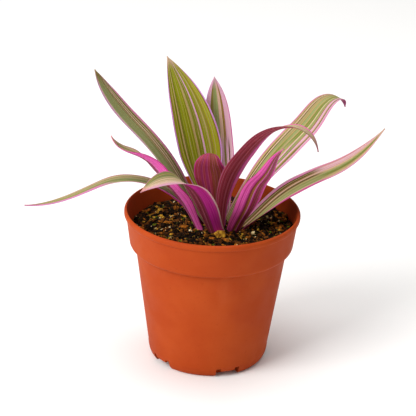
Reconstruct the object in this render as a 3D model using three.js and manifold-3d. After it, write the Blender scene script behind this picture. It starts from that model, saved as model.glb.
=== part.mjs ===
// Potted tradescantia: a small variegated rosette of strap leaves in a round moulded nursery pot.
// Millimetres, +Z up. The origin is the middle of the pot's underside, and +Y points away from
// the side on which the short arched leaf hangs.
import * as THREE from 'three';
import { mergeVertices } from 'three/addons/utils/BufferGeometryUtils.js';
import Module from 'manifold-3d';

const wasm = await Module();
wasm.setup();
const { degToRad } = THREE.MathUtils;

// ---- driving dimensions ----
const GAP = 0.3;                // clearance between pieces that touch
const POT_HEIGHT = 97;
const RIM_RADIUS = 54;          // outside of the lip
const BAND_TOP_RADIUS = 52.7;   // outside of the rim band just under the lip
const BAND_FOOT_RADIUS = 50.4; // outside of the rim band above its ledge
const LEDGE_Z = 73.6;
const BODY_TOP_RADIUS = 46.7;   // outside of the tapered body under the ledge
const BODY_FOOT_RADIUS = 37.4;  // outside of the tapered body above its rounded foot
const FOOT_RADIUS = 33.6;       // edge of the flat underside
const FOOT_Z = 9;               // height of the rounded foot
const LEDGE_ROUND = 3;          // height of the ledge's rounding
const LIP_Z = 93;               // underside of the lip
const LIP_ROUND = 1.6;
const LIP_FLARE = 0.7;          // how far the mouth opens inside the lip
const WALL = 1.3;
const FLOOR = 2.4;
const FLOOR_RADIUS = 27;        // edge of the flat floor inside
const POT_SEGMENTS = 48;

const NOTCH_COUNT = 5;          // drainage gaps moulded into the foot
const NOTCH_BEARING = -69;      // middle of the first gap, degrees from +X
const NOTCH_WIDTH = 9;
const NOTCH_HEIGHT = 2;
const NOTCH_INNER_RADIUS = 29;
const SLOT_WIDTH = 3;           // drain slot at each end of a gap
const SLOT_HEIGHT = 4.6;
const SLOT_INNER_RADIUS = 30.5;

const SOIL_Z = 88;              // soil level at the crown
const SOIL_RADIUS = 49.5;       // edge of its surface
const SOIL_EDGE_DROP = 3;       // how far the soil falls from the crown to the wall
const SOIL_TILT = 0.016;        // fall towards the back left, per mm
const LUMP_HEIGHT = 0.7;
const SOIL_RINGS = 13;
const CHIP_COUNT = 46;
const CHIP_SEED = 11;
const CHIP_REACH = 44;          // radius within which the chips lie
const CHIP_SMALLEST = 2.4;
const CHIP_LARGEST = 6;
const CHIP_TILT = 0.6;          // radians, at most

const CROWN = [7, -7];          // middle of the rosette
const BURIED = 6;               // depth to which a leaf stands in the soil
const HOLE_MARGIN = 0.5;        // room around a leaf in its hole
const HOLE_DEPTH = 2;           // room under it
const STEM_AT = [5, -5];
const STEM_RADIUS = 13;
const STEM_LENGTH = 12;
const STEM_ROOT_SHARE = 0.4;    // radius of its lower end, as a share
const STEM_SHOULDER = 2;
const STEM_TOP_Z = SOIL_Z - BURIED - 1.2;

const BLADE_THICKNESS = 0.9;    // at the midrib
const EDGE_THICKNESS = 0.65;    // at the margins
const TIP_HALF_WIDTH = 0.5;
const SPINE_STEPS = 120;        // steps of the curve that a blade's midrib follows
const STATIONS = 20;            // cross-sections of a blade above the soil
const ACROSS = 6;               // faces across a blade

// Each blade starts at `at`, measured from the crown, and heads along `heading`, degrees from +X.
// width is its greatest width, at `belly`, a share of its length; base is its width at the soil,
// and taper says how bluntly it narrows to the tip. lean, turn, roll and fold are degrees at even
// steps from the soil to the tip: the angle from upright, the drift of the heading, the twist
// about the midrib, and the half-angle of the channel.
const STRAIGHT = [0, 0, 0, 0, 0, 0];
const LEAVES = [
  { name: 'leaf_left_tall', at: [-12.1, 4.9], heading: 161.5, length: 116, width: 22, base: 6.5,
    lean: [37, 34.5, 39.5, 49.5, 40.5, 25], turn: STRAIGHT, roll: [0, -2, 3.5, 3, 0, -8],
    fold: [75, 35, 22, 20, 18, 10], belly: 0.44, taper: 3.9 },
  { name: 'leaf_left_curled', at: [-16.3, -2.2], heading: 190, length: 84, width: 22.5, base: 9,
    lean: [24, 30, 39, 39.5, 67, 20], turn: STRAIGHT, roll: [20, 25.5, 16, 24.5, 9, -21],
    fold: [80, 48, 32, 30, 35, 20], belly: 0.42, taper: 2 },
  { name: 'leaf_left_trailing', at: [-15.7, 7.8], heading: 178, length: 120, width: 16, base: 7,
    lean: [37, 54, 85, 117, 111, 90], turn: STRAIGHT, roll: [0, 4, 6, 4, 4, 6],
    fold: [70, 40, 20, 15, 20, 15], belly: 0.5, taper: 2.2 },
  { name: 'leaf_front_arched', at: [-6, -8.9], heading: 235, length: 98, width: 23, base: 16,
    lean: [29, 29, 40, 63, 81, 97], turn: STRAIGHT, roll: [0, 0, -4, -8, -10, -5],
    fold: [55, 38, 28, 28, 25, 10], belly: 0.45, taper: 1.8 },
  { name: 'leaf_back_broad', at: [-6.3, 9.5], heading: 126, length: 107, width: 32, base: 9,
    lean: [27, 22, 23, 31, 42, 52], turn: STRAIGHT, roll: STRAIGHT,
    fold: [75, 28, 15, 12, 10, 10], belly: 0.45, taper: 2.1 },
  { name: 'leaf_centre_short', at: [-3.8, 2.9], heading: 262, length: 55, width: 21, base: 8,
    lean: [10, 10, 10, 9, -5, -190], turn: [-60, -60, -60, -60, 0, 0], roll: [60, 60, 60, 60, 0, 0],
    fold: [100, 95, 60, 30, 20, 10], belly: 0.6, taper: 2 },
  { name: 'leaf_back_narrow', at: [1.2, 13.4], heading: 103, length: 89, width: 17, base: 7,
    lean: [26, 30, 32, 32, 30, 28], turn: STRAIGHT, roll: STRAIGHT,
    fold: [70, 30, 18, 15, 12, 10], belly: 0.5, taper: 3.6 },
  { name: 'leaf_right_hooked', at: [0, -0.5], heading: -30, length: 118, width: 20, base: 9,
    lean: [-4, 13, 30, 42, 81, 170], turn: STRAIGHT, roll: [-10, -16, -17, -14, -12, -10],
    fold: [70, 35, 25, 25, 20, 10], belly: 0.38, taper: 2.3 },
  { name: 'leaf_right_broad', at: [3.6, 6.9], heading: 38, length: 118, width: 24, base: 9,
    lean: [32, 46.5, 52, 56, 51, 165], turn: STRAIGHT, roll: STRAIGHT,
    fold: [75, 30, 18, 15, 15, 20], belly: 0.5, taper: 3 },
  { name: 'leaf_front_upright', at: [7, -5.5], heading: -62, length: 93, width: 19, base: 12,
    lean: [30, 36, 27, 43.5, 31.5, 53.5], turn: STRAIGHT, roll: [-14, -1, 4, -4, 1, -4],
    fold: [80, 35, 25, 30, 35, 20], belly: 0.38, taper: 1.6 },
  { name: 'leaf_right_low', at: [13.5, 1.5], heading: 18, length: 106, width: 20.5, base: 12,
    lean: [49, 50, 64.5, 70, 53, 38.5], turn: STRAIGHT, roll: [0, 2, 0, 2, 3, 2],
    fold: [75, 30, 12, 8, 10, 10], belly: 0.4, taper: 1.85 },
];

// ---- solids ----
function toManifold(geometry) {
  const bare = geometry.index ? geometry.clone() : geometry;
  bare.deleteAttribute('normal');
  bare.deleteAttribute('uv');
  const merged = mergeVertices(bare, 1e-4);
  return new wasm.Manifold(new wasm.Mesh({
    numProp: 3,
    vertProperties: new Float32Array(merged.attributes.position.array),
    triVerts: new Uint32Array(merged.index.array),
  }));
}

function toGeometry(solid) {
  const mesh = solid.getMesh();
  const geometry = new THREE.BufferGeometry();
  geometry.setAttribute('position', new THREE.BufferAttribute(mesh.vertProperties, 3));
  geometry.setIndex(new THREE.BufferAttribute(mesh.triVerts, 1));
  geometry.computeVertexNormals();
  return geometry;
}

// the biggest of the bodies that a cut leaves, so that no loose scrap stays
function largest(solid) {
  const bodies = solid.decompose();
  return bodies.reduce((best, body) => (body.volume() > best.volume() ? body : best));
}

// a lathe about +Z from [radius, height] pairs that start and end on the axis
function turned(profile, segments) {
  const points = profile.map(([radius, height]) => new THREE.Vector2(radius, height));
  return new THREE.LatheGeometry(points, segments).rotateX(Math.PI / 2);
}

// points of a quarter ellipse that leaves its start level and reaches its end upright
function quarter([startRadius, startZ], [endRadius, endZ], steps) {
  const points = [];
  for (let i = 0; i <= steps; i += 1) {
    const angle = ((i / steps) * Math.PI) / 2;
    points.push([
      startRadius + (endRadius - startRadius) * Math.sin(angle),
      endZ + (startZ - endZ) * Math.cos(angle),
    ]);
  }
  return points;
}

function namedMesh(name, geometry, color, roughness) {
  const mesh = new THREE.Mesh(geometry, new THREE.MeshStandardMaterial({ color, roughness, metalness: 0 }));
  mesh.name = name;
  return mesh;
}

// ---- pot ----
// the inside of the pot, from the edge of its floor up to the rim band, which the soil fills
function innerWall() {
  const ledgeTop = [BAND_FOOT_RADIUS - WALL, LEDGE_Z + LEDGE_ROUND + WALL];
  return [
    ...quarter([FLOOR_RADIUS, FLOOR], [BODY_FOOT_RADIUS - WALL, FOOT_Z], 3),
    ...quarter([BODY_TOP_RADIUS - WALL, LEDGE_Z + WALL], ledgeTop, 2),
  ];
}

function potProfile() {
  const mouth = BAND_TOP_RADIUS - WALL;
  return [
    [0, 0],
    ...quarter([FOOT_RADIUS, 0], [BODY_FOOT_RADIUS, FOOT_Z], 4),
    ...quarter([BODY_TOP_RADIUS, LEDGE_Z], [BAND_FOOT_RADIUS, LEDGE_Z + LEDGE_ROUND], 2),
    ...quarter([BAND_TOP_RADIUS, LIP_Z], [RIM_RADIUS, LIP_Z + LIP_ROUND], 2),
    ...quarter([RIM_RADIUS - LIP_ROUND, POT_HEIGHT], [RIM_RADIUS, POT_HEIGHT - LIP_ROUND], 2).reverse(),
    [mouth + LIP_FLARE, POT_HEIGHT - LIP_ROUND / 2],
    [mouth, LIP_Z],
    ...innerWall().reverse(),
    [0, FLOOR],
  ];
}

// a block that reaches outwards from `inner` at a bearing, for a cut in the foot
function footCut(inner, width, height, bearing, shift) {
  const reach = BODY_TOP_RADIUS - inner;
  const block = new THREE.BoxGeometry(reach, width, height + 1);
  block.translate(inner + reach / 2, shift, (height - 1) / 2);
  return toManifold(block.rotateZ(degToRad(bearing)));
}

function pot() {
  let solid = toManifold(turned(potProfile(), POT_SEGMENTS));
  const slotShift = (NOTCH_WIDTH + SLOT_WIDTH) / 2;
  for (let i = 0; i < NOTCH_COUNT; i += 1) {
    const bearing = NOTCH_BEARING + (i * 360) / NOTCH_COUNT;
    solid = solid.subtract(footCut(NOTCH_INNER_RADIUS, NOTCH_WIDTH, NOTCH_HEIGHT, bearing, 0));
    for (const shift of [-slotShift, slotShift]) {
      solid = solid.subtract(footCut(SLOT_INNER_RADIUS, SLOT_WIDTH, SLOT_HEIGHT, bearing, shift));
    }
  }
  return namedMesh('pot', toGeometry(solid), 0xc4532b, 0.5);
}

// ---- leaves ----
// a smooth run through evenly spaced values, for s from 0 at the soil to 1 at the tip
function smooth(values, s) {
  const last = values.length - 1;
  const x = Math.min(s * last, last - 1e-9);
  const i = Math.floor(x);
  const t = x - i;
  const b = values[i];
  const c = values[i + 1];
  const a = i > 0 ? values[i - 1] : 2 * b - c;
  const d = i + 2 <= last ? values[i + 2] : 2 * c - b;
  return b + 0.5 * ((c - a) * t + (2 * a - 5 * b + 4 * c - d) * t ** 2 + (3 * b - a - 3 * c + d) * t ** 3);
}

function widthShare(leaf, s) {
  const base = leaf.base / leaf.width;
  const u = s / leaf.belly;
  const rise = base + (1 - base) * u * u * (3 - 2 * u);
  return u < 1 ? rise : 1 - ((s - leaf.belly) / (1 - leaf.belly)) ** leaf.taper;
}

// the directions of a blade's cross-section: along its midrib, across it, and up from its top face
function axesAt(leaf, s, lean) {
  const heading = degToRad(leaf.heading + smooth(leaf.turn, s));
  const tilt = degToRad(lean);
  const roll = degToRad(smooth(leaf.roll, s));
  const out = new THREE.Vector3(Math.cos(heading), Math.sin(heading), 0);
  const along = out.multiplyScalar(Math.sin(tilt)).setZ(Math.cos(tilt));
  const level = new THREE.Vector3(-Math.sin(heading), Math.cos(heading), 0);
  const normal = along.clone().cross(level);
  const across = level.clone().multiplyScalar(Math.cos(roll)).addScaledVector(normal, Math.sin(roll));
  const up = normal.multiplyScalar(Math.cos(roll)).addScaledVector(level, -Math.sin(roll));
  return { along, across, up };
}

// the midrib's points at even steps from the soil to the tip
function spine(leaf) {
  const step = leaf.length / SPINE_STEPS;
  const points = [new THREE.Vector3(CROWN[0] + leaf.at[0], CROWN[1] + leaf.at[1], SOIL_Z)];
  let before = axesAt(leaf, 0, leaf.lean[0]).along;
  for (let i = 1; i <= SPINE_STEPS; i += 1) {
    const s = i / SPINE_STEPS;
    const after = axesAt(leaf, s, smooth(leaf.lean, s)).along;
    points.push(points[i - 1].clone().addScaledVector(before, step / 2).addScaledVector(after, step / 2));
    before = after;
  }
  return points;
}

// the cross-sections of a blade from its buried end up to step `lastStep` of its spine;
// underground it turns back towards upright
function sections(leaf, lastStep, every, extraDepth) {
  const points = spine(leaf);
  const list = [];
  const depth = BURIED + extraDepth;
  const start = leaf.lean[0];
  const half = axesAt(leaf, 0, start * 0.8).along;
  const deep = axesAt(leaf, 0, start * 0.4).along;
  const middle = points[0].clone().addScaledVector(half, -depth / 2);
  const end = middle.clone().addScaledVector(deep, -depth / 2);
  list.push({ centre: end, axes: axesAt(leaf, 0, start * 0.3), s: 0 });
  list.push({ centre: middle, axes: axesAt(leaf, 0, start * 0.6), s: 0 });
  for (let i = 0; i <= lastStep; i += every) {
    const s = i / SPINE_STEPS;
    list.push({ centre: points[i], axes: axesAt(leaf, s, smooth(leaf.lean, s)), s });
  }
  return list;
}

// a closed blade through those cross-sections, `extra` mm bigger all round
function bladeGeometry(leaf, list, extra) {
  const positions = [];
  for (const side of [1, -1]) {
    for (const { centre, axes, s } of list) {
      const halfWidth = Math.max((leaf.width / 2) * widthShare(leaf, s), TIP_HALF_WIDTH);
      const fold = degToRad(smooth(leaf.fold, s));
      const radius = halfWidth / fold;
      for (let j = 0; j <= ACROSS; j += 1) {
        const v = (2 * j) / ACROSS - 1;
        const reach = fold * v * (1 + extra / halfWidth);
        const thick = (BLADE_THICKNESS - (BLADE_THICKNESS - EDGE_THICKNESS) * v * v) / 2 + extra;
        const point = centre.clone()
          .addScaledVector(axes.across, (radius - side * thick) * Math.sin(reach))
          .addScaledVector(axes.up, radius - (radius - side * thick) * Math.cos(reach));
        positions.push(point.x, point.y, point.z);
      }
    }
  }
  const row = ACROSS + 1;
  const sheet = list.length * row;
  const triangles = [];
  const quad = (a, b, c, d) => triangles.push(a, b, c, a, c, d);
  for (let i = 0; i + 1 < list.length; i += 1) {
    for (let j = 0; j < ACROSS; j += 1) {
      const a = i * row + j;
      triangles.push(a, a + row + 1, a + 1, a, a + row, a + row + 1);
      triangles.push(sheet + a, sheet + a + 1, sheet + a + row + 1);
      triangles.push(sheet + a, sheet + a + row + 1, sheet + a + row);
    }
    const left = i * row;
    const right = left + ACROSS;
    quad(left, sheet + left, sheet + left + row, left + row);
    quad(right, right + row, sheet + right + row, sheet + right);
  }
  const tip = (list.length - 1) * row;
  for (let j = 0; j < ACROSS; j += 1) {
    quad(j, j + 1, sheet + j + 1, sheet + j);
    quad(tip + j, sheet + tip + j, sheet + tip + j + 1, tip + j + 1);
  }
  const geometry = new THREE.BufferGeometry();
  geometry.setAttribute('position', new THREE.Float32BufferAttribute(positions, 3));
  geometry.setIndex(triangles);
  return geometry;
}

function leafMesh(leaf) {
  const list = sections(leaf, SPINE_STEPS, SPINE_STEPS / STATIONS, 0);
  const solid = toManifold(bladeGeometry(leaf, list, 0));
  return namedMesh(leaf.name, toGeometry(solid), 0x8a9152, 0.45);
}

// ---- stem ----
// the short thick stem under the rosette, `extra` mm bigger all round
function stemGeometry(extra) {
  const radius = STEM_RADIUS + extra;
  const top = STEM_TOP_Z + extra;
  const foot = STEM_TOP_Z - STEM_LENGTH - extra;
  const root = quarter([radius * STEM_ROOT_SHARE, foot], [radius, top - STEM_SHOULDER], 3);
  const profile = [[0, foot], ...root, [radius - STEM_SHOULDER / 2, top], [0, top]];
  return turned(profile, 24).translate(STEM_AT[0], STEM_AT[1], 0);
}

// ---- soil ----
function seededRandom(seed) {
  let state = seed;
  return () => {
    state = (state * 16807) % 2147483647;
    return state / 2147483647;
  };
}

// height of the soil: a low mound at the crown, a slow fall to the back left, and lumps
function soilHeight(x, y) {
  const away = Math.hypot(x - CROWN[0], y - CROWN[1]) / RIM_RADIUS;
  const mound = SOIL_EDGE_DROP * Math.min(away, 1) ** 1.5;
  const tilt = SOIL_TILT * Math.max(y - x, 0);
  const broad = Math.sin(x * 0.42 + y * 0.31) * Math.sin(y * 0.53 - x * 0.24);
  const fine = 0.6 * Math.sin(x * 0.9) * Math.cos(y * 0.8);
  return SOIL_Z - mound - tilt + LUMP_HEIGHT * (broad + fine) * Math.min(away * 3, 1);
}

function soilBody() {
  const inside = innerWall().map(([radius, z]) => [radius - GAP, z + GAP]);
  const profile = [[0, FLOOR + GAP], ...inside];
  const bodyCount = profile.length;
  for (let i = 0; i <= SOIL_RINGS; i += 1) {
    profile.push([SOIL_RADIUS * (1 - i / SOIL_RINGS), SOIL_Z]);
  }
  const geometry = turned(profile, POT_SEGMENTS);
  const position = geometry.attributes.position;
  const perLine = profile.length;
  for (let i = 0; i < position.count; i += 1) {
    if (i % perLine >= bodyCount) {
      position.setZ(i, soilHeight(position.getX(i), position.getY(i)));
    }
  }
  return toManifold(geometry);
}

// bark chips and pale grains half sunk in the surface
function chips() {
  const random = seededRandom(CHIP_SEED);
  const solids = [];
  for (let i = 0; i < CHIP_COUNT; i += 1) {
    const bearing = random() * 2 * Math.PI;
    const radius = CHIP_REACH * Math.sqrt(random());
    const size = CHIP_SMALLEST + (CHIP_LARGEST - CHIP_SMALLEST) * random() ** 2;
    const chip = i % 4 === 0
      ? new THREE.OctahedronGeometry(size * 0.4)
      : new THREE.BoxGeometry(size, size * 0.55, size * 0.3);
    chip.rotateX((2 * random() - 1) * CHIP_TILT);
    chip.rotateY((2 * random() - 1) * CHIP_TILT);
    chip.rotateZ(random() * Math.PI);
    const x = radius * Math.cos(bearing);
    const y = radius * Math.sin(bearing);
    chip.translate(x, y, soilHeight(x, y) + 0.1 * size);
    solids.push(toManifold(chip));
  }
  return wasm.Manifold.union(solids);
}

function soil() {
  const holes = LEAVES.map((leaf) => {
    const every = Math.ceil((3 * SPINE_STEPS) / leaf.length);
    const list = sections(leaf, 3 * every, every, HOLE_DEPTH);
    return toManifold(bladeGeometry(leaf, list, HOLE_MARGIN));
  });
  const cut = wasm.Manifold.union([...holes, toManifold(stemGeometry(GAP))]);
  const solid = largest(soilBody().add(chips()).subtract(cut));
  return namedMesh('soil', toGeometry(solid), 0x2c1d14, 0.95);
}

const plant = new THREE.Group();
plant.name = 'potted_tradescantia';
plant.add(pot());
plant.add(soil());
plant.add(namedMesh('stem', toGeometry(toManifold(stemGeometry(0))), 0x7d6a48, 0.7));
LEAVES.forEach((leaf) => plant.add(leafMesh(leaf)));

export default plant;
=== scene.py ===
"""Potted tradescantia: a striped rosette of strap leaves in a round nursery pot.

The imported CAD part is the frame. Finer pieces stand for its pot, its soil and its leaves, in the
same places; the stem keeps its CAD node. Lengths are millimetres unless a comment says otherwise,
and MM turns them into Blender's metres.
"""

import math
import random

import bmesh
import bpy
from mathutils import Matrix, Vector, noise


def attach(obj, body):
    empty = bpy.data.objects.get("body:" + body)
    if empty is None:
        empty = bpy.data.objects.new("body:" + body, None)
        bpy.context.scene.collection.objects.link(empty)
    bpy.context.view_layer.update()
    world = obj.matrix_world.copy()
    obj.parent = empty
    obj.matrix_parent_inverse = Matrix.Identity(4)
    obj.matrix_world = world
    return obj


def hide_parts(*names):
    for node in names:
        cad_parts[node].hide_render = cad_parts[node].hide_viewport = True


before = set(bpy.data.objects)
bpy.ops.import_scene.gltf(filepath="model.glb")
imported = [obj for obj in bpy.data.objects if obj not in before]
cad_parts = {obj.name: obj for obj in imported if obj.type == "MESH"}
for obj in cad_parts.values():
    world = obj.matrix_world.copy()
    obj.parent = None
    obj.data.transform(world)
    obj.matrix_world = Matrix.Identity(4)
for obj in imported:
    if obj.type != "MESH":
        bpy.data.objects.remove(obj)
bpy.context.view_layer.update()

MM = 0.001
BODY = "root"

# ---- pot, as in the part ----
POT_HEIGHT = 97
RIM_RADIUS = 54            # outside of the lip
BAND_TOP_RADIUS = 52.7     # outside of the rim band just under the lip
BAND_FOOT_RADIUS = 50.4    # outside of the rim band above its ledge
LEDGE_Z = 73.6
LEDGE_ROUND = 3            # height of the ledge's rounding
BODY_TOP_RADIUS = 46.7     # outside of the tapered body under the ledge
BODY_FOOT_RADIUS = 37.4    # outside of the tapered body above its rounded foot
FOOT_RADIUS = 33.6         # edge of the flat underside
FOOT_Z = 9                 # height of the rounded foot
LIP_Z = 93                 # underside of the lip
LIP_ROUND = 1.6
LIP_FLARE = 0.7            # how far the mouth opens inside the lip
WALL = 1.3
FLOOR = 2.4
FLOOR_RADIUS = 27          # edge of the flat floor inside
POT_SEGMENTS = 180
CREASE_ANGLE = 34          # degrees from which an edge of the pot is shaded sharp

# ---- drainage gaps in the foot: in the part's places, but taller, as they look on the real pot ----
NOTCH_COUNT = 5
NOTCH_BEARING = -69        # middle of the first gap, degrees from +X
NOTCH_WIDTH = 9
NOTCH_HEIGHT = 4
SLOT_WIDTH = 3             # drain slot at each end of a gap
SLOT_HEIGHT = 5.8
CUT_INNER_RADIUS = 30
CUT_START_Z = -2           # the cutter starts under the foot

# ---- soil: the part's surface, out to the wall and with a finer crumble ----
GAP = 0.3                  # clearance to the wall
SOIL_Z = 88                # soil level at the crown
SOIL_RADIUS = 50.1         # edge of its surface
SOIL_EDGE_DROP = 3         # how far the soil falls from the crown to the wall
SOIL_TILT = 0.016          # fall towards the back left, per mm
LUMP_HEIGHT = 0.7
CRUMBLE_HEIGHT = 1.1
CRUMBLE_SCALE = 0.5
CRUMBLE_SHAPE = (0.6, 2.2, 5)  # smoothness, step from one octave to the next, and octaves
SOIL_RINGS = 90
SOIL_SEGMENTS = 220
SOIL_CREASE_ANGLE = 60

# ---- crumbs, chips and grains on the soil ----
CHUNK_SEED = 7
CHUNK_REACH = 48.4         # radius within which they lie
CHUNK_RISE = 0.18          # height of a crumb's middle above the soil, in its own heights
CHUNK_TILT = 0.7           # slope of a crumb, at most, along X and along Y
CRUMB_WIDTH = (0.5, 1.0)   # least and greatest, as shares of a crumb's length
CRUMB_HEIGHT = (0.6, 1.0)  # the same, before it is flattened
CRUMB_PUSH = (0.55, 1.3)   # how far its points are moved in or out
CHUNKS = [
    # name, colour, second colour, count, smallest and largest size, flatness
    ("peat_crumbs", "#0e0702", "#2e1b0a", 1300, 0.8, 4.4, 0.75),
    ("bark_dark", "#2c1606", "#6a3d12", 620, 1.0, 5.0, 0.6),
    ("bark_orange", "#b06a1c", "#4e280a", 360, 1.0, 4.8, 0.55),
    ("bark_yellow", "#dcaa36", "#7a4c12", 260, 0.8, 3.8, 0.5),
    ("moss_bits", "#6a7a14", "#2c380a", 130, 1.0, 3.6, 0.5),
    ("perlite", "#f0dfae", "#cdb274", 150, 0.7, 1.9, 0.9),
]
# the large chips and grains that lie in front of the leaves and beside them: x, y and size
PLACED = {
    "bark_orange": [(-17, -6, 9), (9, -24, 9), (43, -3, 7)],
    "bark_yellow": [(6, -20, 12), (-34, 27, 5), (-33, 18, 6), (38, 3, 4)],
    "perlite": [(25, -14, 3), (-26, -3, 2.5), (-13, -12, 2.5)],
}

# ---- blades: the part's, with thinner margins, a grooved midrib and a rippled edge ----
CROWN = (7, -7)            # middle of the rosette
BURIED = 6                 # depth to which a leaf stands in the soil
TIP_HALF_WIDTH = 0.35
BLADE_THICKNESS = 0.8      # at the midrib
EDGE_THICKNESS = 0.3       # near the margins
EDGE_ROUNDING = 8          # power by which a margin rounds off: a higher one is blunter
GROOVE_DEPTH = 0.3         # of the midrib
GROOVE_WIDTH = 0.09        # of the midrib, as a share of the half-width
EDGE_RIPPLE = 0.35
RIPPLES_ALONG = 7
RIPPLES_ACROSS = 2
RIPPLE_SEED_STEP = 3.7
RELIEF_HALF_WIDTH = 6      # where a blade is narrower than this, groove and ripple fade
MARGIN_WELD = 1e-7         # metres: joins the top's and the underside's points at a margin
SPINE_STEPS = 120
ACROSS = 28                # faces across each side of a blade

# ---- camera: the photograph's view ----
CAMERA_DISTANCE = 1200
CAMERA_ELEVATION = 24.07   # degrees above the floor
CAMERA_ROLL = 2.05         # degrees
CAMERA_TARGET = (-2.78, 0, 97.8)
FOCAL_PIXELS = 1962.7
IMAGE_PIXELS = 416
SENSOR_MM = 36
CAMERA_CLIP = 20           # metres

# ---- soft studio light and a pale floor ----
WORLD_STRENGTH = 0.42
LAMP_AIM = (0, 0, 0.1)     # metres
LAMPS = [
    # name, place in metres, side in metres, watts
    ("key", (-0.95, -0.75, 1.0), 0.8, 21),
    ("top", (0.0, 0.2, 1.6), 1.2, 15),
]
FLOOR_HALF = 4000

# ---- leaves: the part's table ----
# Each blade starts at `at`, measured from the crown, and heads along `heading`, degrees from +X.
# width is its greatest width, at `belly`, a share of its length; base is its width at the soil,
# and taper says how bluntly it narrows to the tip. lean, turn, roll and fold are degrees at even
# steps from the soil to the tip: the angle from upright, the drift of the heading, the twist
# about the midrib, and the half-angle of the channel.
LEVEL = [0, 0, 0, 0, 0, 0]
LEAVES = [
    dict(name="leaf_left_tall", at=(-12.1, 4.9), heading=161.5, length=116, width=22, base=6.5,
         lean=[37, 34.5, 39.5, 49.5, 40.5, 25], turn=LEVEL, roll=[0, -2, 3.5, 3, 0, -8],
         fold=[75, 35, 22, 20, 18, 10], belly=0.44, taper=3.9),
    dict(name="leaf_left_curled", at=(-16.3, -2.2), heading=190, length=84, width=22.5, base=9,
         lean=[24, 30, 39, 39.5, 67, 20], turn=LEVEL, roll=[20, 25.5, 16, 24.5, 9, -21],
         fold=[80, 48, 32, 30, 35, 20], belly=0.42, taper=2),
    dict(name="leaf_left_trailing", at=(-15.7, 7.8), heading=178, length=120, width=16, base=7,
         lean=[37, 54, 85, 117, 111, 90], turn=LEVEL, roll=[0, 4, 6, 4, 4, 6],
         fold=[70, 40, 20, 15, 20, 15], belly=0.5, taper=2.2),
    dict(name="leaf_front_arched", at=(-6, -8.9), heading=235, length=98, width=23, base=16,
         lean=[29, 29, 40, 63, 81, 97], turn=LEVEL, roll=[0, 0, -4, -8, -10, -5],
         fold=[55, 38, 28, 28, 25, 10], belly=0.45, taper=1.8),
    dict(name="leaf_back_broad", at=(-6.3, 9.5), heading=126, length=107, width=32, base=9,
         lean=[27, 22, 23, 31, 42, 52], turn=LEVEL, roll=LEVEL,
         fold=[75, 28, 15, 12, 10, 10], belly=0.45, taper=2.1),
    dict(name="leaf_centre_short", at=(-3.8, 2.9), heading=262, length=55, width=21, base=8,
         lean=[10, 10, 10, 9, -5, -190], turn=[-60, -60, -60, -60, 0, 0], roll=[60, 60, 60, 60, 0, 0],
         fold=[100, 95, 60, 30, 20, 10], belly=0.6, taper=2),
    dict(name="leaf_back_narrow", at=(1.2, 13.4), heading=103, length=89, width=17, base=7,
         lean=[26, 30, 32, 32, 30, 28], turn=LEVEL, roll=LEVEL,
         fold=[70, 30, 18, 15, 12, 10], belly=0.5, taper=3.6),
    dict(name="leaf_right_hooked", at=(0, -0.5), heading=-30, length=118, width=20, base=9,
         lean=[-4, 13, 30, 42, 81, 170], turn=LEVEL, roll=[-10, -16, -17, -14, -12, -10],
         fold=[70, 35, 25, 25, 20, 10], belly=0.38, taper=2.3),
    dict(name="leaf_right_broad", at=(3.6, 6.9), heading=38, length=118, width=24, base=9,
         lean=[32, 46.5, 52, 56, 51, 165], turn=LEVEL, roll=LEVEL,
         fold=[75, 30, 18, 15, 15, 20], belly=0.5, taper=3),
    dict(name="leaf_front_upright", at=(7, -5.5), heading=-62, length=93, width=19, base=12,
         lean=[30, 36, 27, 43.5, 31.5, 53.5], turn=LEVEL, roll=[-14, -1, 4, -4, 1, -4],
         fold=[80, 35, 25, 30, 35, 20], belly=0.38, taper=1.6),
    dict(name="leaf_right_low", at=(13.5, 1.5), heading=18, length=106, width=20.5, base=12,
         lean=[49, 50, 64.5, 70, 53, 38.5], turn=LEVEL, roll=[0, 2, 0, 2, 3, 2],
         fold=[75, 30, 12, 8, 10, 10], belly=0.4, taper=1.85),
]

# ---- leaf colours ----
PALETTE = {
    "pine": "#6a6c04",
    "green": "#7f8206",
    "lime": "#93911a",
    "olive": "#74692e",
    "moss": "#6e7730",
    "sage": "#858b56",
    "khaki": "#96875a",
    "sand": "#b09e76",
    "tan": "#a68d5c",
    "umber": "#5a4620",
    "bronze": "#84682f",
    "gold": "#9a6a1c",
    "cream": "#cbb08f",
    "fawn": "#c09a86",
    "peach": "#d0ac9c",
    "blush": "#c998ac",
    "salmon": "#d58b8c",
    "petal": "#c5789f",
    "rose": "#bd7088",
    "lilac": "#c78ac6",
    "pink": "#d957a6",
    "magenta": "#b43480",
    "orchid": "#b02282",
    "mauve": "#a44e6c",
    "crimson": "#842650",
    "garnet": "#a03648",
    "brick": "#8c2c3c",
    "maroon": "#742a37",
    "wine": "#5c1a24",
    "rust": "#7f3c2c",
}

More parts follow.
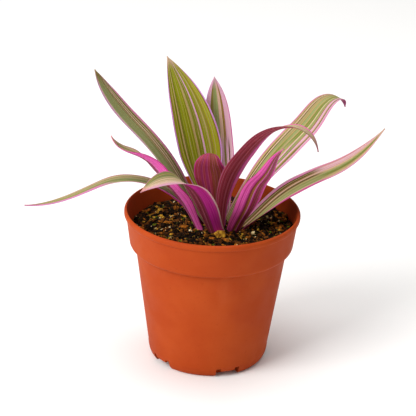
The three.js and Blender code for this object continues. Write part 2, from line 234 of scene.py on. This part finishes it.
# Stripes are "share colour" words, from one margin of a blade to the other. `top` faces the crown
# and `under` faces away from it; `far` holds the top's stripes over the outer half, where they differ.
BACKS = "3 magenta, 18 maroon, 3 mauve, 15 wine, 4 mauve, 15 maroon, 3 mauve, 18 wine, 3 magenta"
FACES = ("4 rose, 5 sage, 2 khaki, 5 sage, 3 cream, 9 olive, 2 khaki, 9 olive, 4 cream, 9 sage, 2 olive,"
         " 9 sage, 3 pine, 9 olive, 2 lime, 9 olive, 4 cream, 8 sage, 4 rose")
STRIPES = {
    "leaf_left_tall": dict(
        tip="bronze",
        top="8 petal, 6 khaki, 4 umber, 6 sand, 4 umber, 5 cream, 3 umber, 6 khaki, 2 umber, 8 sage,"
            " 2 sand, 9 sage, 1 olive, 9 sage, 2 khaki, 18 sage, 5 cream, 7 blush",
        far="7 petal, 4 khaki, 4 umber, 5 sand, 4 umber, 4 cream, 3 umber, 6 khaki, 2 umber, 8 sage,"
            " 2 khaki, 9 sage, 1 olive, 9 sage, 2 khaki, 14 sage, 3 cream, 13 blush, 5 lilac",
        under=BACKS),
    "leaf_left_curled": dict(
        tip="salmon",
        top="5 rose, 12 sand, 15 khaki, 2 sand, 13 khaki, 8 sand, 14 khaki, 2 olive, 14 khaki, 10 sand,"
            " 5 rose",
        under="4 mauve, 18 crimson, 2 mauve, 18 crimson, 2 mauve, 9 crimson, 1 rose, 6 crimson, 1 maroon,"
              " 4 petal, 14 pink, 1 magenta, 16 pink, 4 magenta"),
    "leaf_left_trailing": dict(
        tip="mauve",
        top="4 rose, 10 sand, 2 olive, 10 khaki, 3 sand, 12 sage, 3 green, 12 sage, 2 lime, 14 sage,"
            " 4 cream, 5 blush",
        far="4 mauve, 12 sand, 2 olive, 10 khaki, 3 sand, 9 sage, 3 green, 5 khaki, 4 rose, 34 petal,"
            " 5 lilac",
        under="6 magenta, 30 pink, 20 maroon, 40 magenta, 4 pink"),
    "leaf_front_arched": dict(
        tip="salmon",
        top="5 khaki, 4 sage, 1 olive, 6 sand, 1 khaki, 6 cream, 2 olive, 8 peach, 2 khaki, 6 peach,"
            " 10 blush, 18 petal, 10 salmon, 8 blush",
        far="3 rose, 4 sage, 2 green, 4 khaki, 2 olive, 5 sage, 5 sand, 2 olive, 7 cream, 2 khaki,"
            " 8 cream, 1 olive, 9 peach, 1 khaki, 8 peach, 2 petal, 10 blush, 2 petal, 8 blush",
        under="8 orchid, 8 crimson, 2 mauve, 8 maroon, 1 rust, 8 wine, 8 maroon, 2 rose, 8 maroon,"
              " 5 crimson, 9 orchid, 2 magenta, 14 orchid, 6 magenta, 2 blush, 2 peach"),
    # a yellower, lime green than the other blades' tops: its own stripes, with painted light shining
    # through the blade from behind added in
    "leaf_back_broad": dict(
        tip="fawn",
        top="3 lilac, 2 bronze, 7 lime, 1 tan, 5 lime, 2 bronze, 3 green, 3 tan, 3 green, 1 tan, 5 green,"
            " 4 blush, 4 pine, 1 tan, 5 pine, 6 tan, 5 green, 1 lime, 6 green, 1 tan, 6 green, 5 pine,"
            " 4 tan, 4 pine, 2 lime, 2 tan, 4 green, 2 bronze, 3 lilac",
        under=BACKS),
    "leaf_centre_short": dict(
        tip="magenta",
        top=FACES,
        under="4 magenta, 9 brick, 1 mauve, 6 brick, 6 crimson, 1 mauve, 6 brick, 7 crimson, 1 mauve,"
              " 7 brick, 6 rust, 1 mauve, 7 rust, 2 maroon, 6 rust, 1 mauve, 6 brick, 5 crimson,"
              " 4 magenta"),
    "leaf_back_narrow": dict(
        tip="blush",
        top="3 magenta, 9 blush, 4 umber, 9 blush, 7 olive, 9 blush, 3 khaki, 6 sage, 1 olive, 8 sage,"
            " 2 khaki, 8 olive, 18 blush, 4 lilac",
        far="3 magenta, 17 blush, 1 rose, 8 bronze, 11 fawn, 2 khaki, 8 sage, 1 olive, 8 sage, 2 khaki,"
            " 10 olive, 18 blush, 4 lilac",
        under=BACKS),
    "leaf_right_hooked": dict(
        tip="mauve",
        top="4 khaki, 10 sage, 2 khaki, 10 fawn, 2 olive, 14 sand, 1 khaki, 14 fawn, 2 olive, 18 sand,"
            " 4 tan, 15 pink",
        under="3 mauve, 5 garnet, 1 rose, 6 garnet, 2 maroon, 5 garnet, 1 rose, 6 garnet, 2 maroon,"
              " 5 garnet, 2 rose, 5 garnet, 2 maroon, 6 garnet, 1 rose, 5 crimson, 5 magenta, 34 pink,"
              " 4 lilac"),
    "leaf_right_broad": dict(
        tip="magenta",
        top="4 petal, 5 blush, 2 umber, 6 olive, 3 tan, 5 blush, 2 umber, 5 sage, 3 olive, 5 blush,"
            " 5 tan, 5 sage, 1 olive, 7 khaki, 6 moss, 2 tan, 6 sage, 3 umber, 3 cream, 3 umber, 5 tan,"
            " 4 petal",
        far="4 petal, 6 blush, 3 umber, 3 tan, 8 blush, 2 umber, 3 tan, 7 sage, 3 cream, 2 olive, 9 moss,"
            " 3 tan, 8 sage, 1 olive, 4 tan, 6 khaki, 3 umber, 4 cream, 2 umber, 4 tan, 4 petal",
        under=BACKS),
    "leaf_front_upright": dict(
        tip="rose",
        top=FACES,
        under="3 mauve, 9 pink, 3 magenta, 4 pink, 1 magenta, 7 pink, 5 magenta, 5 maroon, 3 rust,"
              " 3 gold, 2 rust, 3 petal, 5 magenta, 4 wine, 6 brick, 1 rust, 7 maroon, 1 rose, 5 brick,"
              " 7 magenta, 16 pink"),
    "leaf_right_low": dict(
        tip="fawn",
        top="9 magenta, 3 rose, 3 fawn, 5 sage, 2 olive, 6 sage, 2 tan, 5 sage, 2 olive, 5 sage, 2 tan,"
            " 4 khaki, 8 umber, 5 fawn, 3 bronze, 7 umber, 3 khaki, 5 umber, 7 petal, 5 blush",
        far="5 petal, 6 fawn, 6 tan, 4 khaki, 2 olive, 8 moss, 2 olive, 8 sage, 4 tan, 6 fawn, 5 blush,"
            " 4 fawn, 6 blush, 5 fawn, 5 rose, 4 blush",
        under=BACKS),
}


FAR_START = 0.48           # shares of the length between which the far stripes take over
FAR_END = 0.6
TIP_START = 0.9            # share of the length from which the tip's colour comes in
DRIFT = 0.04               # how far a stripe wanders, as a share of the width
FRAY = 0.024               # how far its edges fray
VEIN_SHADE = (0.66, 0.6, 0.54, 1)
VEIN_LIGHT = {"top": "sand", "under": "rose"}
FLECKS = {"top": "lime", "under": "magenta"}
SEED_STEP = {"top": 1.7, "under": 2.3}  # the top is a blade's first material and the underside its second


# ---- materials ----
def linear(code):
    """A hex colour as the linear RGBA that Blender's sockets take."""
    values = [int(code[i:i + 2], 16) / 255 for i in (1, 3, 5)]
    return [v / 12.92 if v <= 0.04045 else ((v + 0.055) / 1.055) ** 2.4 for v in values] + [1]


class Finish:
    """A node material, with one short call for each kind of node that it is made of."""

    def __init__(self, name, roughness, specular):
        self.material = bpy.data.materials.new(name)
        self.material.use_nodes = True
        self.nodes = self.material.node_tree.nodes
        self.links = self.material.node_tree.links
        self.shader = self.nodes["Principled BSDF"]
        self.feed(self.shader.inputs["Roughness"], roughness)
        self.feed(self.shader.inputs["Specular IOR Level"], specular)

    def feed(self, socket, value):
        """Link a socket to another node's output, or set it to a plain value."""
        if isinstance(value, bpy.types.NodeSocket):
            self.links.new(value, socket)
        else:
            socket.default_value = value

    def place(self):
        """The point on the piece, in metres."""
        return self.nodes.new("ShaderNodeTexCoord").outputs["Object"]

    def math(self, operation, first, second):
        node = self.nodes.new("ShaderNodeMath")
        node.operation = operation
        self.feed(node.inputs[0], first)
        self.feed(node.inputs[1], second)
        return node.outputs[0]

    def stretch(self, vector, scale, shift=(0, 0, 0)):
        node = self.nodes.new("ShaderNodeMapping")
        self.feed(node.inputs["Scale"], scale)
        self.feed(node.inputs["Location"], shift)
        self.feed(node.inputs["Vector"], vector)
        return node.outputs[0]

    def noise(self, vector, scale=1.0, detail=3.0, roughness=0.5):
        node = self.nodes.new("ShaderNodeTexNoise")
        self.feed(node.inputs["Scale"], scale)
        self.feed(node.inputs["Detail"], detail)
        self.feed(node.inputs["Roughness"], roughness)
        self.feed(node.inputs["Vector"], vector)
        return node.outputs["Fac"]

    def cells(self, vector, scale):
        """A random number for each cell, and the distance from the cell's middle."""
        node = self.nodes.new("ShaderNodeTexVoronoi")
        self.feed(node.inputs["Scale"], scale)
        self.feed(node.inputs["Vector"], vector)
        split = self.nodes.new("ShaderNodeSeparateColor")
        self.links.new(node.outputs["Color"], split.inputs[0])
        return split.outputs[0], node.outputs["Distance"]

    def mix(self, factor, first, second, blend="MIX"):
        node = self.nodes.new("ShaderNodeMix")
        node.data_type = "RGBA"
        node.blend_type = blend
        self.feed(node.inputs[0], factor)
        self.feed(node.inputs[6], first)
        self.feed(node.inputs[7], second)
        return node.outputs[2]

    def span(self, value, low, high, to_low=0.0, to_high=1.0):
        """The value eased from the range low..high to the range to_low..to_high."""
        node = self.nodes.new("ShaderNodeMapRange")
        node.interpolation_type = "SMOOTHSTEP"
        self.feed(node.inputs["Value"], value)
        self.feed(node.inputs["From Min"], low)
        self.feed(node.inputs["From Max"], high)
        self.feed(node.inputs["To Min"], to_low)
        self.feed(node.inputs["To Max"], to_high)
        return node.outputs["Result"]

    def bands(self, value, words):
        """A colour for each value from 0 to 1, from words such as "3 rose, 20 #74692e"."""
        pairs = [word.split() for word in words.split(",")]
        total = sum(float(share) for share, _ in pairs)
        node = self.nodes.new("ShaderNodeValToRGB")
        node.color_ramp.interpolation = "CONSTANT"
        elements = node.color_ramp.elements
        while len(elements) < len(pairs):
            elements.new(1.0)
        start = 0.0
        for element, (share, colour) in zip(elements, pairs):
            element.position = start
            element.color = linear(PALETTE.get(colour, colour))
            start += float(share) / total
        self.feed(node.inputs["Fac"], value)
        return node.outputs["Color"]

    def colour(self, socket):
        self.feed(self.shader.inputs["Base Color"], socket)

    def bump(self, height, distance, strength):
        """Relief from a height of 0 to 1 that stands for `distance` millimetres."""
        node = self.nodes.new("ShaderNodeBump")
        self.feed(node.inputs["Distance"], distance * MM)
        self.feed(node.inputs["Strength"], strength)
        self.feed(node.inputs["Height"], height)
        self.feed(self.shader.inputs["Normal"], node.outputs[0])


def stripes(finish, colours, side, place, across, along, seed):
    """The stripes of one side of a blade, wandering and fraying a little along it."""
    drift = finish.noise(finish.stretch(place, (6, 2, 1), (seed, 0, 0)))
    fray = finish.noise(finish.stretch(place, (90, 5, 1), (0, seed, 0)))
    shift = finish.math("ADD", finish.math("MULTIPLY", drift, DRIFT), finish.math("MULTIPLY", fray, FRAY))
    shifted = finish.math("ADD", across, finish.math("SUBTRACT", shift, (DRIFT + FRAY) / 2))
    colour = finish.bands(shifted, colours[side])
    if side == "top" and "far" in colours:
        far = finish.bands(shifted, colours["far"])
        colour = finish.mix(finish.span(along, FAR_START, FAR_END), colour, far)
    return colour


def veins(finish, colour, side, place, seed):
    """Fine dark and light lines along the blade, and flecks over them."""
    lines = finish.noise(finish.stretch(place, (30, 0.9, 1), (seed, seed, 0)), roughness=0.75)
    dark = finish.mix(1.0, colour, VEIN_SHADE, "MULTIPLY")
    light = finish.mix(0.3, colour, linear(PALETTE[VEIN_LIGHT[side]]))
    colour = finish.mix(finish.span(lines, 0.38, 0.47), dark, colour)
    colour = finish.mix(finish.span(lines, 0.55, 0.62), colour, light)
    flecks = finish.noise(finish.stretch(place, (50, 24, 1)), detail=2)
    share = finish.span(flecks, 0.58, 0.75, to_high=0.2)
    return finish.mix(share, colour, linear(PALETTE[FLECKS[side]]))


def blade_material(name, side, seed):
    """One side of a leaf, from its map's u across the blade and v along it."""
    colours = STRIPES[name]
    finish = Finish(f"{name}_{side}", roughness=0.5, specular=0.12)
    uv = finish.nodes.new("ShaderNodeUVMap")
    uv.uv_map = "blade"
    place = uv.outputs[0]
    split = finish.nodes.new("ShaderNodeSeparateXYZ")
    finish.feed(split.inputs[0], place)
    across, along = split.outputs[0], split.outputs[1]

    colour = stripes(finish, colours, side, place, across, along, seed)
    colour = veins(finish, colour, side, place, seed)
    tip = finish.span(along, TIP_START, 1.0, to_high=0.8)
    finish.colour(finish.mix(tip, colour, linear(PALETTE[colours["tip"]])))

    finish.feed(finish.shader.inputs["Subsurface Weight"], 0.15)
    finish.feed(finish.shader.inputs["Subsurface Radius"], (1.0, 0.6, 0.4))
    finish.feed(finish.shader.inputs["Subsurface Scale"], 0.8 * MM)
    ribs = finish.noise(finish.stretch(place, (46, 1.2, 1), (seed, 0, 0)), detail=2)
    finish.bump(ribs, distance=0.3, strength=0.7)
    return finish.material


def pot_material():
    """Matt moulded plastic: a slightly uneven terracotta with dark specks and pale dust."""
    finish = Finish("terracotta_plastic", roughness=0.6, specular=0.08)
    place = finish.place()
    clouds = finish.span(finish.noise(place, scale=34), 0.35, 0.7)
    colour = finish.mix(clouds, linear("#a63f14"), linear("#ae4719"))
    specks = finish.span(finish.noise(place, scale=620, detail=2), 0.62, 0.74, to_high=0.25)
    colour = finish.mix(specks, colour, linear("#8f3210"))
    dust = finish.span(finish.noise(finish.stretch(place, (60, 60, 14)), detail=4), 0.6, 0.8, to_high=0.12)
    finish.colour(finish.mix(dust, colour, linear("#c86e48")))
    gloss = finish.span(finish.noise(place, scale=90, detail=4), 0.3, 0.7, to_low=0.52, to_high=0.66)
    finish.feed(finish.shader.inputs["Roughness"], gloss)
    finish.bump(finish.noise(place, scale=1500), distance=0.06, strength=0.5)
    return finish.material


def peat_material():
    """Damp peat with fine grains of bark, moss and sand in it."""
    finish = Finish("damp_peat", roughness=0.9, specular=0.1)
    place = finish.place()
    number, distance = finish.cells(place, scale=700)
    grains = finish.bands(number, "36 #0d0703, 24 #1c1007, 14 #33200f, 8 #5a3416, 6 #8a521c, 4 #b27c28,"
                                  " 4 #6a6a18, 2 #dcc07c")
    patch = finish.span(finish.noise(place, scale=160, detail=4, roughness=0.65), 0.38, 0.6)
    finish.colour(finish.mix(patch, linear("#0f0804"), grains))
    finish.bump(distance, distance=0.5, strength=0.8)
    return finish.material


def chunk_material(name, first, second):
    """Rough chips whose colour goes from `first` to `second` in patches."""
    finish = Finish(name, roughness=0.85, specular=0.1)
    place = finish.place()
    patch = finish.span(finish.noise(place, scale=420, detail=4, roughness=0.65), 0.35, 0.65)
    finish.colour(finish.mix(patch, linear(first), linear(second)))
    finish.bump(finish.noise(place, scale=1600), distance=0.25, strength=0.8)
    return finish.material


def stem_material():
    """Pale green flesh, brown in patches."""
    finish = Finish("stem_flesh", roughness=0.6, specular=0.3)
    patch = finish.span(finish.noise(finish.place(), scale=160), 0.35, 0.65)
    finish.colour(finish.mix(patch, linear("#8a7a4c"), linear("#6a4a3a")))
    return finish.material


def floor_material():
    finish = Finish("pale_floor", roughness=0.9, specular=0.2)
    finish.colour(linear("#f7f6f4"))
    return finish.material


# ---- pieces ----
def new_mesh(name, points, faces):
    """A mesh in metres from points in millimetres."""
    mesh = bpy.data.meshes.new(name)
    mesh.from_pydata([Vector(point) * MM for point in points], [], faces)
    return mesh


def add_piece(name, mesh, materials):
    """An object of the mesh, with its materials."""
    piece = bpy.data.objects.new(name, mesh)
    bpy.context.scene.collection.objects.link(piece)
    for material in materials:
        mesh.materials.append(material)
    return piece


def refine(mesh, sharp=180, weld=None):
    """Turn faces outwards and shade them smooth, but for edges from the `sharp` angle up.

    Points closer than `weld` metres are joined first.
    """
    work = bmesh.new()
    work.from_mesh(mesh)
    if weld:
        bmesh.ops.remove_doubles(work, verts=work.verts, dist=weld)
    bmesh.ops.recalc_face_normals(work, faces=work.faces)
    for face in work.faces:
        face.smooth = True
    for edge in work.edges:
        edge.smooth = not edge.is_manifold or edge.calc_face_angle(0) < math.radians(sharp)
    work.to_mesh(mesh)
    work.free()


# ---- leaf shape, as in the part, on a finer grid ----
def smooth(values, s):
    """A smooth run through evenly spaced values, for s from 0 at the soil to 1 at the tip."""
    last = len(values) - 1
    x = min(s * last, last - 1e-9)
    i = int(x)
    t = x - i
    b, c = values[i], values[i + 1]
    a = values[i - 1] if i > 0 else 2 * b - c
    d = values[i + 2] if i + 2 <= last else 2 * c - b
    return b + 0.5 * ((c - a) * t + (2 * a - 5 * b + 4 * c - d) * t ** 2 + (3 * b - a - 3 * c + d) * t ** 3)


def width_share(leaf, s):
    """The width at s as a share of the greatest width."""
    base = leaf["base"] / leaf["width"]
    u = s / leaf["belly"]
    if u < 1:
        return base + (1 - base) * u * u * (3 - 2 * u)
    return 1 - ((s - leaf["belly"]) / (1 - leaf["belly"])) ** leaf["taper"]


def axes_at(leaf, s, lean):
    """The directions of a cross-section: along the midrib, across it, and up from its top face."""
    heading = math.radians(leaf["heading"] + smooth(leaf["turn"], s))
    tilt = math.radians(lean)
    roll = math.radians(smooth(leaf["roll"], s))
    along = Vector((math.sin(tilt) * math.cos(heading), math.sin(tilt) * math.sin(heading), math.cos(tilt)))
    level = Vector((-math.sin(heading), math.cos(heading), 0))
    normal = along.cross(level)
    across = level * math.cos(roll) + normal * math.sin(roll)
    up = normal * math.cos(roll) - level * math.sin(roll)
    return along, across, up


def sections(leaf):
    """Centre, across, up and s for each cross-section, from the buried end to the tip.

    Under the soil the blade turns back towards upright.
    """
    start = leaf["lean"][0]
    step = leaf["length"] / SPINE_STEPS
    point = Vector((CROWN[0] + leaf["at"][0], CROWN[1] + leaf["at"][1], SOIL_Z))
    middle = point - axes_at(leaf, 0, start * 0.8)[0] * BURIED / 2
    end = middle - axes_at(leaf, 0, start * 0.4)[0] * BURIED / 2
    rows = []
    for centre, share in ((end, 0.3), (middle, 0.6), (point, 1.0)):
        _, across, up = axes_at(leaf, 0, start * share)
        rows.append((centre, across, up, 0.0))
    before = axes_at(leaf, 0, start)[0]
    for i in range(1, SPINE_STEPS + 1):
        s = i / SPINE_STEPS
        along, across, up = axes_at(leaf, s, smooth(leaf["lean"], s))
        point = point + (before + along) * step / 2
        before = along
        rows.append((point, across, up, s))
    return rows


def leaf_mesh(leaf, seed):
    """A closed blade. Each cross-section runs over the top from v = -1 to 1, then back underneath."""
    rows = sections(leaf)
    angles = [(j / ACROSS - 0.5) * math.pi for j in range(ACROSS + 1)]
    loop = [(math.sin(a), 1) for a in angles] + [(math.sin(a), -1) for a in reversed(angles)]
    points = []
    uvs = []
    for centre, across, up, s in rows:
        half = max(leaf["width"] / 2 * width_share(leaf, s), TIP_HALF_WIDTH)
        fold = math.radians(smooth(leaf["fold"], s))
        radius = half / fold
        relief = min(1, half / RELIEF_HALF_WIDTH)
        for v, side in loop:
            thick = (EDGE_THICKNESS + (BLADE_THICKNESS - EDGE_THICKNESS) * (1 - v * v)) / 2
            thick *= math.sqrt(1 - v ** EDGE_ROUNDING)
            wave = Vector((s * RIPPLES_ALONG, v * RIPPLES_ACROSS, seed * RIPPLE_SEED_STEP))
            ripple = EDGE_RIPPLE * v * v * noise.noise(wave)
            groove = GROOVE_DEPTH * math.exp(-(v / GROOVE_WIDTH) ** 2)
            reach = radius - side * thick
            rise = radius - reach * math.cos(fold * v) + (ripple - groove) * relief
            points.append(centre + across * reach * math.sin(fold * v) + up * rise)
            uvs.append(((v + 1) / 2, s))
    count = len(loop)
    last = (len(rows) - 1) * count
    faces = [tuple(range(count - 1, -1, -1)), tuple(range(last, last + count))]
    sides = [1, 1]
    for i in range(len(rows) - 1):
        for j in range(count - 1):
            if j != ACROSS:
                a = i * count + j
                faces.append((a, a + 1, a + 1 + count, a + count))
                sides.append(0 if j < ACROSS else 1)
    mesh = new_mesh(leaf["name"] + "_fine", points, faces)
    layer = mesh.uv_layers.new(name="blade")
    for polygon, side in zip(mesh.polygons, sides):
        polygon.material_index = side
        for index in polygon.loop_indices:
            layer.data[index].uv = uvs[mesh.loops[index].vertex_index]
    refine(mesh, weld=MARGIN_WELD)
    return mesh


def leaves():
    """A finer blade in place of each leaf of the part."""
    for index, leaf in enumerate(LEAVES):
        name = leaf["name"]
        materials = [blade_material(name, side, index * step) for side, step in SEED_STEP.items()]
        piece = add_piece(name + "_blade", leaf_mesh(leaf, index), materials)
        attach(piece, BODY)
        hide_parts(name)


# ---- pot ----
def quarter(start, end, steps):
    """Points of a quarter ellipse that leaves its start level and reaches its end upright."""
    points = []
    for i in range(steps + 1):
        angle = i / steps * math.pi / 2
        points.append((start[0] + (end[0] - start[0]) * math.sin(angle),
                       end[1] + (start[1] - end[1]) * math.cos(angle)))
    return points


def inner_wall(inset):
    """The inside of the pot from its floor up to the rim band, moved in and up by `inset`."""
    rows = quarter((FLOOR_RADIUS, FLOOR), (BODY_FOOT_RADIUS - WALL, FOOT_Z), 8)
    rows += quarter((BODY_TOP_RADIUS - WALL, LEDGE_Z + WALL),
                    (BAND_FOOT_RADIUS - WALL, LEDGE_Z + LEDGE_ROUND + WALL), 6)
    return [(radius - inset, z + inset) for radius, z in rows]


def pot_outline():
    """The moulded wall from the underside's edge, up the outside and down the inside."""
    mouth = BAND_TOP_RADIUS - WALL
    outline = quarter((FOOT_RADIUS, 0), (BODY_FOOT_RADIUS, FOOT_Z), 10)
    outline += quarter((BODY_TOP_RADIUS, LEDGE_Z), (BAND_FOOT_RADIUS, LEDGE_Z + LEDGE_ROUND), 6)
    outline += quarter((BAND_TOP_RADIUS, LIP_Z), (RIM_RADIUS, LIP_Z + LIP_ROUND), 5)
    outline += quarter((RIM_RADIUS - LIP_ROUND, POT_HEIGHT), (RIM_RADIUS, POT_HEIGHT - LIP_ROUND), 6)[::-1]
    outline += [(mouth + LIP_FLARE, POT_HEIGHT - LIP_ROUND / 2), (mouth, LIP_Z)]
    return outline + inner_wall(0)[::-1]


def lathe(outline, segments):
    """A closed body turned about Z, with a flat cap across each end of the outline."""
    count = len(outline)
    points, faces = [], []
    for i in range(segments):
        bearing = 2 * math.pi * i / segments
        points += [(radius * math.cos(bearing), radius * math.sin(bearing), z) for radius, z in outline]
        a, b = i * count, ((i + 1) % segments) * count
        faces += [(a + j, b + j, b + j + 1, a + j + 1) for j in range(count - 1)]
    faces.append(tuple(i * count for i in range(segments - 1, -1, -1)))
    faces.append(tuple(i * count + count - 1 for i in range(segments)))
    return points, faces


def foot_cutter():
    """A cutter for all the notches: each is a low gap with a taller drain slot at both ends."""
    half = NOTCH_WIDTH / 2
    wide = half + SLOT_WIDTH
    outline = [(-wide, CUT_START_Z), (wide, CUT_START_Z), (wide, SLOT_HEIGHT), (half, SLOT_HEIGHT),
               (half, NOTCH_HEIGHT), (-half, NOTCH_HEIGHT), (-half, SLOT_HEIGHT), (-wide, SLOT_HEIGHT)]
    count = len(outline)
    points, faces = [], []
    for n in range(NOTCH_COUNT):
        bearing = math.radians(NOTCH_BEARING + 360 * n / NOTCH_COUNT)
        out = Vector((math.cos(bearing), math.sin(bearing), 0))
        side = Vector((-math.sin(bearing), math.cos(bearing), 0))
        first = len(points)
        for reach in (CUT_INNER_RADIUS, BODY_TOP_RADIUS):
            points += [out * reach + side * x + Vector((0, 0, z)) for x, z in outline]
        for j in range(count):
            k = (j + 1) % count
            faces.append((first + j, first + k, first + count + k, first + count + j))
        faces.append(tuple(first + j for j in range(count - 1, -1, -1)))
        faces.append(tuple(first + count + j for j in range(count)))
    return points, faces


def cut_away(piece, cutter_mesh):
    """Cut a mesh out of a piece for good, with no modifier left on it."""
    cutter = bpy.data.objects.new("cutter", cutter_mesh)
    bpy.context.scene.collection.objects.link(cutter)
    modifier = piece.modifiers.new("cut", "BOOLEAN")
    modifier.operation = "DIFFERENCE"
    modifier.solver = "EXACT"
    modifier.object = cutter
    bpy.context.view_layer.update()
    cut = bpy.data.meshes.new_from_object(piece.evaluated_get(bpy.context.evaluated_depsgraph_get()))
    piece.modifiers.clear()
    piece.data = cut
    bpy.data.objects.remove(cutter)


def pot():
    """The hollow pot with the drainage gaps cut out of its foot."""
    mesh = new_mesh("pot_wall", *lathe(pot_outline(), POT_SEGMENTS))
    piece = add_piece("moulded_pot", mesh, [pot_material()])
    cut_away(piece, new_mesh("foot_cutter", *foot_cutter()))
    refine(piece.data, sharp=CREASE_ANGLE)
    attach(piece, BODY)
    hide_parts("pot")


# ---- soil ----
def soil_height(x, y):
    """The part's mound, tilt and lumps, with the finer crumble of a bark mix."""
    away = math.hypot(x - CROWN[0], y - CROWN[1]) / RIM_RADIUS
    mound = SOIL_EDGE_DROP * min(away, 1) ** 1.5
    tilt = SOIL_TILT * max(y - x, 0)
    lumps = math.sin(x * 0.42 + y * 0.31) * math.sin(y * 0.53 - x * 0.24)
    lumps += 0.6 * math.sin(x * 0.9) * math.cos(y * 0.8)
    crumble = noise.fractal(Vector((x * CRUMBLE_SCALE, y * CRUMBLE_SCALE, 3)), *CRUMBLE_SHAPE)
    return SOIL_Z - mound - tilt + LUMP_HEIGHT * lumps * min(away * 3, 1) + CRUMBLE_HEIGHT * crumble


def soil_bed():
    """The soil's body, from its surface down to the pot's floor."""
    outline = [(SOIL_RADIUS * (i + 1) / SOIL_RINGS, SOIL_Z) for i in range(SOIL_RINGS)]
    outline += inner_wall(GAP)[::-1]
    points, faces = lathe(outline, SOIL_SEGMENTS)
    for i, (x, y, _) in enumerate(points):
        if i % len(outline) < SOIL_RINGS:
            points[i] = (x, y, soil_height(x, y))
    mesh = new_mesh("soil_bed", points, faces)
    refine(mesh, sharp=SOIL_CREASE_ANGLE)
    piece = add_piece("soil_bed", mesh, [peat_material()])
    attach(piece, BODY)
    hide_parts("soil")


def crumb(rng, size, flatness):
    """An irregular crumb: a flattened ball of a few points, each pushed in or out."""
    shape = bmesh.new()
    bmesh.ops.create_icosphere(shape, subdivisions=1, radius=0.5)
    stretch = (size, size * rng.uniform(*CRUMB_WIDTH), size * rng.uniform(*CRUMB_HEIGHT) * flatness)
    points = []
    for vertex in shape.verts:
        push = rng.uniform(*CRUMB_PUSH)
        points.append(Vector([c * k * push for c, k in zip(vertex.co, stretch)]))
    faces = [tuple(vertex.index for vertex in face.verts) for face in shape.faces]
    shape.free()
    return points, faces


def spot(rng, small, large):
    """A place on the soil and a size, with more small ones than large ones."""
    bearing = rng.uniform(0, 2 * math.pi)
    radius = CHUNK_REACH * math.sqrt(rng.random())
    size = small + (large - small) * rng.random() ** 2
    return radius * math.cos(bearing), radius * math.sin(bearing), size


def scatter():
    """Crumbs, chips and grains that lie half sunk all over the soil."""
    rng = random.Random(CHUNK_SEED)
    for name, first, second, count, small, large, flatness in CHUNKS:
        points, faces = [], []
        for x, y, size in PLACED.get(name, []) + [spot(rng, small, large) for _ in range(count)]:
            centre = Vector((x, y, soil_height(x, y) + size * flatness * CHUNK_RISE))
            lean = Vector((rng.uniform(-CHUNK_TILT, CHUNK_TILT), rng.uniform(-CHUNK_TILT, CHUNK_TILT), 1))
            turn = Vector((0, 0, 1)).rotation_difference(lean).to_matrix()
            turn = turn @ Matrix.Rotation(rng.uniform(0, 2 * math.pi), 3, "Z")
            own, own_faces = crumb(rng, size, flatness)
            faces += [tuple(len(points) + i for i in face) for face in own_faces]
            points += [centre + turn @ point for point in own]
        finish = chunk_material(name + "_finish", first, second)
        piece = add_piece(name, new_mesh(name, points, faces), [finish])
        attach(piece, BODY)


def stem():
    """The stem keeps its CAD node and only gets its own material."""
    finish = stem_material()
    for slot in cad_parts["stem"].material_slots:
        slot.material = finish


# ---- stage ----
def camera():
    """The photograph's camera, with a little roll."""
    elevation = math.radians(CAMERA_ELEVATION)
    target = Vector(CAMERA_TARGET) * MM
    away = Vector((0, -math.cos(elevation), math.sin(elevation)))
    data = bpy.data.cameras.new("camera")
    data.sensor_width = SENSOR_MM
    data.lens = SENSOR_MM * FOCAL_PIXELS / IMAGE_PIXELS
    data.clip_end = CAMERA_CLIP
    eye = bpy.data.objects.new("camera", data)
    bpy.context.scene.collection.objects.link(eye)
    eye.location = Vector((0, 0, target.z)) + away * CAMERA_DISTANCE * MM
    eye.rotation_euler = (target - eye.location).to_track_quat("-Z", "Y").to_euler()
    eye.rotation_euler.rotate_axis("Z", math.radians(CAMERA_ROLL))
    bpy.context.scene.camera = eye


def area_light(name, place, side, power):
    """A square lamp that faces the plant."""
    data = bpy.data.lights.new(name, "AREA")
    data.size = side
    data.energy = power
    lamp = bpy.data.objects.new(name, data)
    bpy.context.scene.collection.objects.link(lamp)
    lamp.location = place
    lamp.rotation_euler = (Vector(LAMP_AIM) - Vector(place)).to_track_quat("-Z", "Y").to_euler()


def daylight():
    """An even white sky."""
    world = bpy.data.worlds.new("studio")
    world.use_nodes = True
    background = world.node_tree.nodes["Background"]
    background.inputs["Color"].default_value = (1, 1, 1, 1)
    background.inputs["Strength"].default_value = WORLD_STRENGTH
    bpy.context.scene.world = world


def pale_floor():
    """A wide floor under the pot, which isn't part of the object."""
    corners = [(-FLOOR_HALF, -FLOOR_HALF, 0), (FLOOR_HALF, -FLOOR_HALF, 0),
               (FLOOR_HALF, FLOOR_HALF, 0), (-FLOOR_HALF, FLOOR_HALF, 0)]
    floor = bpy.data.objects.new("floor", new_mesh("floor", corners, [(0, 1, 2, 3)]))
    bpy.context.scene.collection.objects.link(floor)
    floor.data.materials.append(floor_material())


def studio():
    """Sky, lamps and floor."""
    bpy.context.scene.view_settings.view_transform = "Standard"
    daylight()
    for name, place, side, power in LAMPS:
        area_light(name, place, side, power)
    pale_floor()


camera()
studio()
pot()
soil_bed()
scatter()
stem()
leaves()
